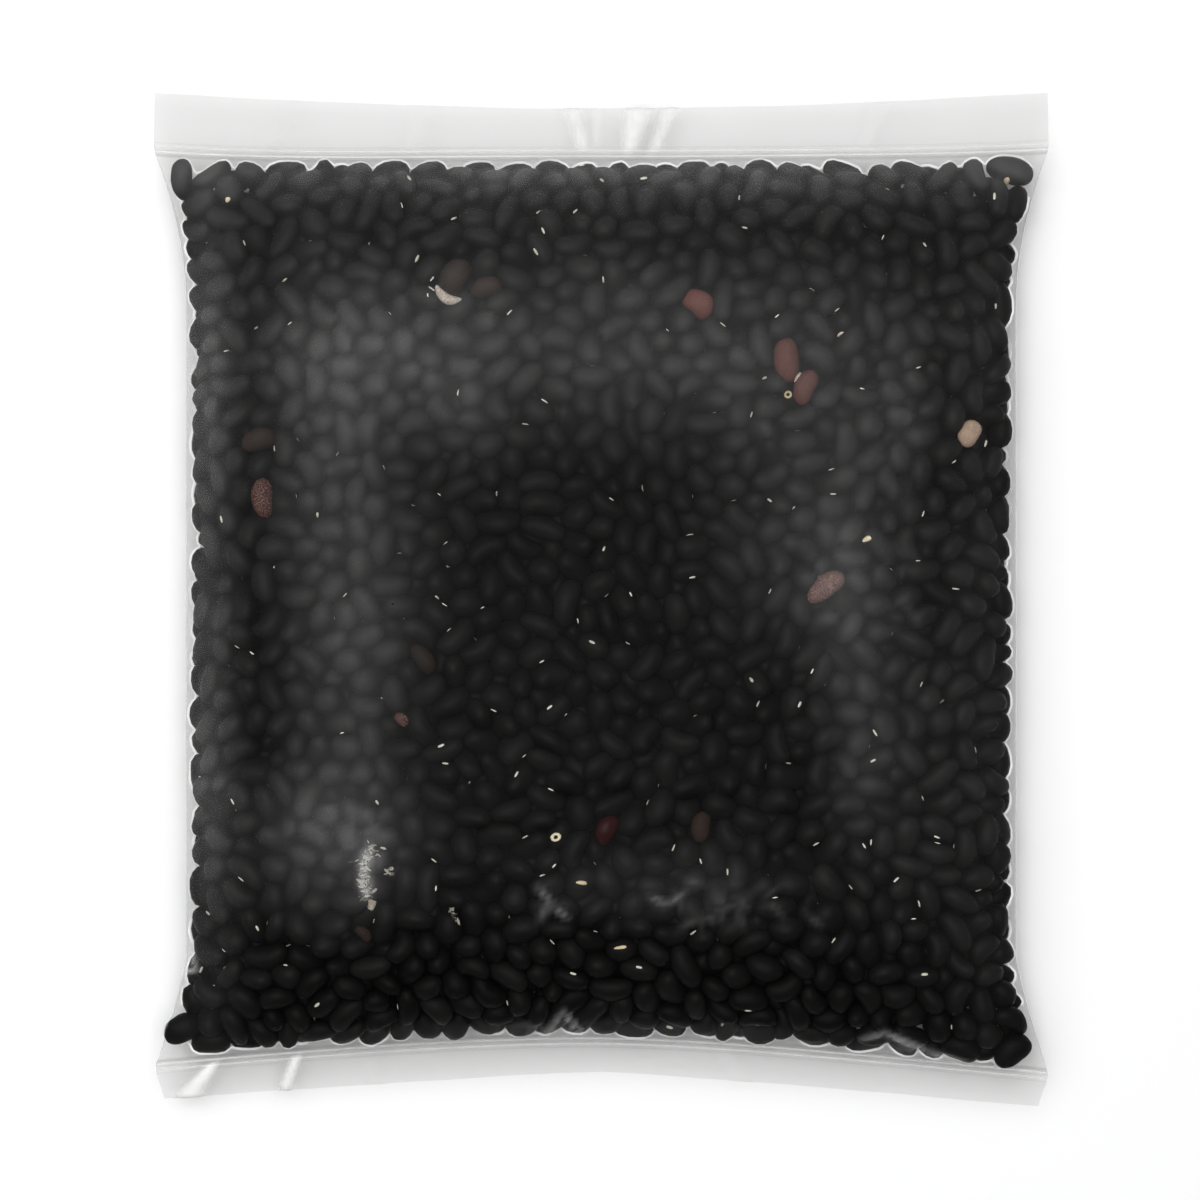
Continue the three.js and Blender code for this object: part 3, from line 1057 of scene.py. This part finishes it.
def ring_shape(name, around=16, section=6):
    """A ring of unit outer size, lying flat."""
    points, faces = [], []
    for step in range(around):
        angle = 2 * math.pi * step / around
        for turn in range(section):
            tilt = 2 * math.pi * turn / section
            reach = 0.34 + 0.16 * math.cos(tilt)
            points.append((reach * math.cos(angle), reach * math.sin(angle), 0.5 * math.sin(tilt)))
            after = (turn + 1) % section
            here, there = step * section, (step + 1) % around * section
            faces.append((here + turn, there + turn, there + after, here + after))
    return new_piece(name, points, faces)


def lay_on(tree, bits, raised=0):
    """Places and turns of flat bits lying on a surface seen from above.

    Raised bits lie level, that high above the surface."""
    places, turns = [], []
    for x, y, heading, *_ in bits:
        hit, normal, _, _ = tree.ray_cast((x * MM, y * MM, 1), (0, 0, -1))
        if raised:
            hit, normal = hit + Vector((0, 0, raised)), (0, 0, 1)
        axis = np.array(heading_axis(heading))
        normal = np.array(normal)
        along = unit(axis - normal * axis.dot(normal))
        places.append(list(hit))
        turns.append(np.stack([along, np.cross(normal, along), normal], axis=1))
    return np.array(places), np.array(turns)


def make_bits(tree, surface):
    """Ring-shaped eyes, loose eyes and broken cream bits, lying on the beans."""
    cream = coat_material("cream_inside", (0.30, 0.25, 0.20), (0.90, 0.83, 0.74), 0.6, 0.8, -0.3)
    golden = coat_material("golden_eye", (0.45, 0.34, 0.18), (0.74, 0.66, 0.47), 0.6, 0.6)
    pieces = []
    rings = ring_shape("ring")
    chip = bean_shape("chip", 0.10, 0.0, 0.25, around=14, rings=7)
    crescent = bean_shape("crescent", 0.62, 0.0, 0.0, around=14, rings=17)
    for name, shape, finish, bits, slot in (
        ("ring_eyes", rings, golden, RING_EYES, "bean_eye"),
        ("big_eyes", chip, golden, BIG_EYES, "bean_eye"),
        ("cream_chips", chip, cream, CREAM_CHIPS, "broken_bean"),
        ("cream_crescent", crescent, cream, CREAM_CRESCENT, "broken_bean"),
        ("cream_shard", chip, cream, CREAM_SHARD, "broken_bean"),
    ):
        place, turn = lay_on(surface, bits, RAISED_BITS.get(name, 0))
        size = np.array([[length, width, thick] for *_, length, width, thick in bits]) * MM
        tone = np.linspace(0.2, 0.8, len(bits))
        pieces.append((scatter(name, tree, shape, finish, place, turn, size, tone, 0.25 * MM, 900), slot))
    for shape in (rings, chip, crescent):
        drop(shape)
    return pieces


def make_flakes(tree, film_tree):
    """Thin whitish flakes of bean caught under the film, lying across each run."""
    random = np.random.default_rng(23)
    bits = []
    for (x0, y0), (x1, y1), spread, count in FLAKE_PATCHES:
        for step in random.uniform(size=count):
            x = mix(x0, x1, step) + random.normal(0, spread)
            y = mix(y0, y1, step) + random.normal(0, spread)
            bits.append((x, y, random.normal(-8, 32)))
    place, turn = lay_on(film_tree, bits)
    place = place - turn[:, :, 2] * 0.12 * MM
    length = random.uniform(0.6, 2.2, len(bits))
    size = np.stack([length, length * random.uniform(0.2, 0.4, len(bits)), length * 0 + 0.12], axis=1)
    shape = bean_shape("flake", 0.0, 0.0, 0.2, around=8, rings=3)
    coat = coat_material("flake_coat", (0.012, 0.011, 0.009), (0.52, 0.50, 0.43), 0.8, 0.8)
    piece = scatter(
        "bean_flakes", tree, shape, coat, place, turn, size * MM, random.uniform(-0.3, 0.8, len(bits)),
        0.1 * MM, 1500,
    )
    drop(shape)
    return piece


# ---------------------------------------------------------------- making the film
def soften_folds(points, outward):
    """Rounds the film's folds at the seals."""
    near = np.zeros(len(points), dtype=bool)
    body = np.flatnonzero(outward == 0)
    for seal in (body[0], body[-1]):
        near[max(1, seal - FOLD_ROWS): seal + FOLD_ROWS + 1] = True
    for _ in range(FOLD_PASSES):
        mean = (points[:-2] + 2 * points[1:-1] + points[2:]) / 4
        points[1:-1] = np.where(near[1:-1, None, None], mean, points[1:-1])
    return points


def film_gaps(points, normals, body_rows, tree):
    """How far the film can be drawn in along its normals before it meets a bean."""
    reach = RAY_LIFT + DEEPEST_GAP
    gap = np.zeros(points.shape[:2])
    starts = (points + normals * RAY_LIFT).tolist()
    inward = (-normals).tolist()
    for row in body_rows:
        for place in range(points.shape[1]):
            distance = tree.ray_cast(starts[row][place], inward[row][place], reach)[3]
            gap[row, place] = (reach if distance is None else distance) - RAY_LIFT - FILM_CLEARANCE
    return gap


def neighbour_mean(grid):
    """Mean of the four neighbours, on a grid whose rows are closed loops."""
    ends = np.vstack([grid[:1], grid, grid[-1:]])
    return (np.roll(grid, 1, axis=1) + np.roll(grid, -1, axis=1) + ends[:-2] + ends[2:]) / 4


def beside_line(x, y, start, stop):
    """Distance from a line between two points, and 1 at its middle fading to 0 at its ends."""
    run = np.subtract(stop, start)
    share = ((x - start[0]) * run[0] + (y - start[1]) * run[1]) / run.dot(run)
    held = np.clip(share, 0, 1)
    distance = np.hypot(x - start[0] - held * run[0], y - start[1] - held * run[1])
    return distance, np.sin(math.pi * np.clip(share, 0.04, 0.96)) ** 0.5


def all_creases():
    """The film's creases, in millimetres: start, stop, height, half width and milkiness, the strength of
    a painted highlight.
    """
    random = np.random.default_rng(5)
    creases = list(CREASES)
    for (x, y), (reach_x, reach_y), count, height, crease_highlight in CRUMPLES:
        for _ in range(count):
            middle = np.array([x, y]) + random.normal(0, 0.45, 2) * (reach_x, reach_y)
            heading = random.uniform(0, math.pi)
            arm = np.array([math.cos(heading), math.sin(heading)]) * random.uniform(1.2, 3.4)
            width = random.uniform(0.6, 1.3)
            share = random.uniform(0.3, 1)
            creases.append((middle - arm, middle + arm, height * share, width, crease_highlight * share))
    return creases


def crease_film(points, normals, top_side):
    """Raises the film into its creases, and returns the painted highlight that each lays on the film."""
    x, y = points[:, :, 0] / MM, points[:, :, 1] / MM
    lift = np.zeros(x.shape)
    crease_highlight = np.zeros(x.shape)
    for start, stop, height, half_width, highlight_strength in all_creases():
        distance, fade = beside_line(x, y, start, stop)
        ridge = np.exp(-((distance / half_width) ** 2)) * fade * top_side
        lift = np.maximum(lift, height * ridge)
        crease_highlight = np.maximum(crease_highlight, highlight_strength * ridge)
    reach = points[:, :, 1] - MIDDLE_Y
    for end, at_seal, at_edge, seal_width, edge_width, height, highlight_strength in STRIP_CREASES:
        outward = np.abs(reach) - line_at(end["seal"], points[:, :, 0])
        outward = outward / (end["edge"]["middle"] - end["seal"]["middle"])
        share = np.clip(outward, 0, 1)
        away = (x - mix(at_seal, at_edge, share)) / mix(seal_width, edge_width, share)
        here = (outward > 0) & (reach * end["side"] > 0) & top_side
        ridge = np.exp(-np.abs(away) ** 2.5) * here * np.clip(share * 4, 0, 1)
        lift = np.maximum(lift, height * ridge)
        crease_highlight = np.maximum(crease_highlight, highlight_strength * ridge)
    return points + normals * (lift * MM)[:, :, None], crease_highlight


def haze_and_sheen_of(points, cling, top_side):
    """How milky the film is: a faint haze and clouded patches of painted reflection, all stronger where
    it clings to the beans.
    """
    x, y = points[:, :, 0] / MM, points[:, :, 1] / MM
    x = np.where(top_side, x, -x)
    cloud = np.zeros(x.shape)
    for middle_x, middle_y, reach_x, reach_y, strength in PAINTED_SHEEN_PATCHES:
        spread = ((x - middle_x) / reach_x) ** 2 + ((y - middle_y) / reach_y) ** 2
        cloud += strength * np.exp(-spread)
    return (CLEAR_VEIL + cloud) * mix(0.60, 1.15, cling)


def make_film(contents):
    """The film, drawn in from the bag's form until it lies tight over the beans."""
    columns, body_rows, strip_rows, wall_steps = 188, 196, 14, 5
    points, outward, up = film_loops(columns, body_rows, strip_rows, wall_steps, EDGE_CREASE)
    points = soften_folds(points, outward)
    normals = loop_normals(points)
    body = outward == 0
    gap = film_gaps(points, normals, np.flatnonzero(body)[1:-1], joined_tree(contents))
    # Above and below do not pass through each other.
    room = np.abs(points[:, :, 2] - points[:, [columns + 1 + wall_steps // 2], 2]) - FIN_GAP / 2
    gap = np.minimum(gap, np.maximum(room, 0))
    on_side = np.abs(up) < 1
    gap[:, on_side] = np.minimum(gap[:, on_side], 0)
    drawn = np.minimum(gap, 0)
    for _ in range(FILM_STEPS):
        drawn = np.minimum(gap, neighbour_mean(drawn) + FILM_PULL)
        drawn[~body] = 0
    cling = np.exp(-(gap - drawn) / CLING_REACH) * body[:, None]
    points = points - normals * drawn[:, :, None]
    top_side = (up == 1)[None, :] & np.ones(len(points), dtype=bool)[:, None]
    points, crease_highlight = crease_film(points, normals, top_side)
    points[:, :, 2] = np.maximum(points[:, :, 2], 0)

    film = new_piece("bag_film", points.reshape(-1, 3).tolist(), loop_faces(*points.shape[:2], columns))
    x, y = points[:, :, 0], points[:, :, 1] - MIDDLE_Y
    seal = np.where(y > 0, line_at(HEAD["seal"], x), line_at(FOOT["seal"], x))
    # The film's faint haze, its painted reflection and the creases' painted highlights.
    store(film.data, "haze_and_sheen", "FLOAT", haze_and_sheen_of(points, cling, top_side) + crease_highlight)
    store(film.data, "from_seal", "FLOAT", np.abs(y) - seal)
    film.data.materials.append(film_material())
    return film


def outline_of(tree, side, low, high, across):
    """Line round the outermost beans on one side of the bag, as places and distances outward.

    across is True for the two ends."""
    start_at = 0.2
    line = []
    for place in np.arange(low, high, EDGE_STEP):
        reach = 0
        for level in EDGE_LEVELS:
            start = (place, side * start_at, level) if across else (side * start_at, place, level)
            inward = (0, -side, 0) if across else (-side, 0, 0)
            distance = tree.ray_cast(start, inward, start_at)[3]
            if distance is not None:
                reach = max(reach, start_at - distance)
        line.append((place, reach))
    line = np.array(line)
    for _ in range(EDGE_PASSES):
        mean = (line[:-2, 1] + line[2:, 1]) / 2
        line[1:-1, 1] = np.maximum(line[1:-1, 1], mean - EDGE_SAG)
    return line


def make_film_edges(tree):
    """Thin folds of film, stretched round the outermost beans at the height of the rim and painted white
    as a highlight.
    """
    points, faces = [], []
    for side, low, high, across in EDGE_RUNS:
        line = outline_of(tree, side, low, high, across)
        run = unit(np.gradient(line, axis=0))
        inner = line + (0, EDGE_GAP)
        outer = inner + np.stack([-run[:, 1], run[:, 0]], axis=1) * EDGE_WIDTH
        to_seal = np.ones(len(line)) if across else seal_share(line[:, 0] / HEAD["seal"]["middle"])
        height = mix(SIDE_HEIGHT, SEAL_HEIGHT, to_seal)
        for edge in (inner, outer):
            flat = edge * (1, side)
            if not across:
                flat = flat[:, ::-1]
            points += np.column_stack([flat, height]).tolist()
        count = len(line)
        start = len(points) - 2 * count
        for step in range(count - 1):
            a = start + step
            quad = (a, a + 1, a + count + 1, a + count)
            faces.append(quad if (side > 0) == across else quad[::-1])
    edges = new_piece("film_edges", points, faces)
    edges.data.materials.append(edge_glint_material())
    return edges


# ---------------------------------------------------------------- floor, light and camera
def panel(name, place, aim, width, height, glow):
    """A soft panel. glow is its brightness, whatever its size."""
    light = bpy.data.lights.new(name, "AREA")
    light.shape = "RECTANGLE"
    light.size, light.size_y = width, height
    light.energy = glow * math.pi * width * height
    lamp = add_object(name, light)
    lamp.location = place
    lamp.rotation_euler = (Vector(aim) - Vector(place)).to_track_quat("-Z", "Y").to_euler()


def make_studio():
    scene = bpy.context.scene
    scene.view_settings.view_transform = "Standard"
    side, level = FLOOR_SIDE, -0.4 * MM
    corners = [(-side, -side, level), (side, -side, level), (side, side, level), (-side, side, level)]
    floor = new_piece("studio_floor", corners, [(0, 1, 2, 3)])
    floor.data.materials.append(floor_material())
    panel("top_panel", (0.0, 0.0, 1.5), (0, 0, 0), 0.9, 0.9, 4.9)
    panel("left_panel", (-0.56, 0.10, 1.15), (0, 0, 0), 0.8, 0.9, 2.4)
    panel("head_panel", (0.0, 0.60, 1.15), (0, 0, 0), 1.0, 0.7, 2.3)
    panel("right_panel", (0.62, 0.0, 1.10), (0, 0, 0), 0.7, 0.9, 0.5)
    panel("foot_panel", (0.0, -0.64, 1.10), (0, 0, 0), 0.9, 0.6, 0.1)
    make_world(scene)


def make_world(scene):
    """White to the camera. It lights the bag from near the horizon, and little from above."""
    world = bpy.data.worlds.new("studio")
    scene.world = world
    world.use_nodes = True
    tree = world.node_tree
    tree.nodes.clear()
    direction = {0: add_node(tree, "ShaderNodeTexCoord").outputs["Generated"]}
    level = add_node(tree, "ShaderNodeMapRange", {
        "Value": add_node(tree, "ShaderNodeSeparateXYZ", direction).outputs["Z"],
        "From Min": 0.15,
        "From Max": 0.5,
        "To Min": 0.40,
        "To Max": 0.10,
    })
    white = {"Color": (1, 1, 1, 1)}
    seen = add_node(tree, "ShaderNodeBackground", white)
    glow = add_node(tree, "ShaderNodeBackground", {**white, "Strength": level.outputs["Result"]})
    to_camera = add_node(tree, "ShaderNodeLightPath").outputs["Is Camera Ray"]
    both = mixed_shader(tree, to_camera, glow, seen)
    add_node(tree, "ShaderNodeOutputWorld", {"Surface": both.outputs[0]})


def make_camera():
    """Straight above the bag, with a long lens."""
    data = bpy.data.cameras.new("camera")
    data.lens = data.sensor_width * (VIEW_DISTANCE - SIDE_HEIGHT) / VIEW_WIDTH
    camera = add_object("camera", data)
    camera.location = (-0.3 * MM, 0, VIEW_DISTANCE)
    bpy.context.scene.camera = camera


def make_form():
    """A search tree of the space that the beans fill."""
    columns, rows = 52, 60
    points, _, _ = film_loops(columns, rows, 0, 3, 0)
    faces = loop_faces(rows + 1, points.shape[1], columns)
    return BVHTree.FromPolygons(points.reshape(-1, 3).tolist(), faces)


# ---------------------------------------------------------------- build
make_camera()
make_studio()

form_tree = make_form()
margin = Vector((3 * MM, 3 * MM, 3 * MM))
depth_of = DepthField(form_tree, bag_low - margin, bag_high + margin, 3 * MM)
place, turn, size, tone, kind, random = lay_beans(depth_of, form_tree)
tree = scatter_tree()
seen = kind < 0
seen_beans = make_seen_beans(tree, place[seen], turn[seen], size[seen], tone[seen])
beans, eyes = make_black_beans(tree, place, turn, size, tone, kind, random)
all_beans = beans + [piece for piece, _ in seen_beans]
for piece in all_beans + [eyes]:
    lift_off_table(piece)
bits = make_bits(tree, joined_tree(all_beans))
core = make_core()
film = make_film(all_beans + [piece for piece, _ in bits])
flakes = make_flakes(tree, joined_tree([film]))
edges = make_film_edges(joined_tree(all_beans))

slots = [(piece, "black_bean") for piece in beans] + seen_beans + bits
slots += [(eyes, "bean_eye"), (core, "bean_shadow"), (flakes, "broken_bean"), (film, "clear_film")]
slots += [(edges, "clear_film")]
for piece, slot in slots:
    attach(piece, "root")
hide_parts("filled_bag")
